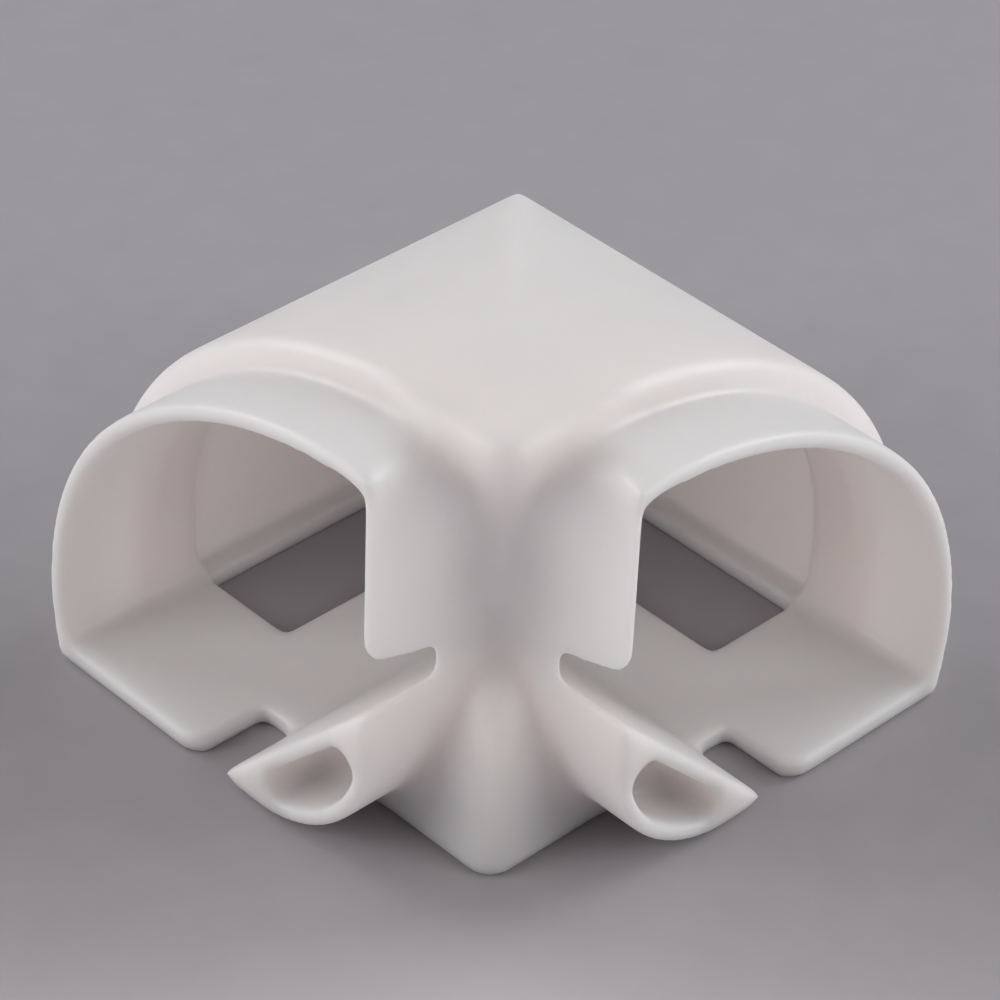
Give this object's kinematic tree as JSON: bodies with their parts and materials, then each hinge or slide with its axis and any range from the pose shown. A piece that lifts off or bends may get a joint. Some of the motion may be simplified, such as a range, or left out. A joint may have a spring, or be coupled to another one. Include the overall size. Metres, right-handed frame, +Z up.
{
  "type": "corner connector",
  "caption": "Moulded corner connector for a hollow quarter-round profile: a mitred vaulted corner with an open hood and a half-moon cup on each arm and a waisted post in the inner corner.",
  "frame": {"origin": "centre of the bounding box in plan, on the plane the part stands on", "axes": "+X along one arm and +Y along the other, away from the outer corner; +Z up from the floor to the roof"},
  "size_m": [0.0432, 0.0432, 0.0328],
  "materials": {
    "white_plastic": "satin warm white moulding"
  },
  "bodies": {
    "root": {"corner_connector": "white_plastic"}
  },
  "joints": []
}
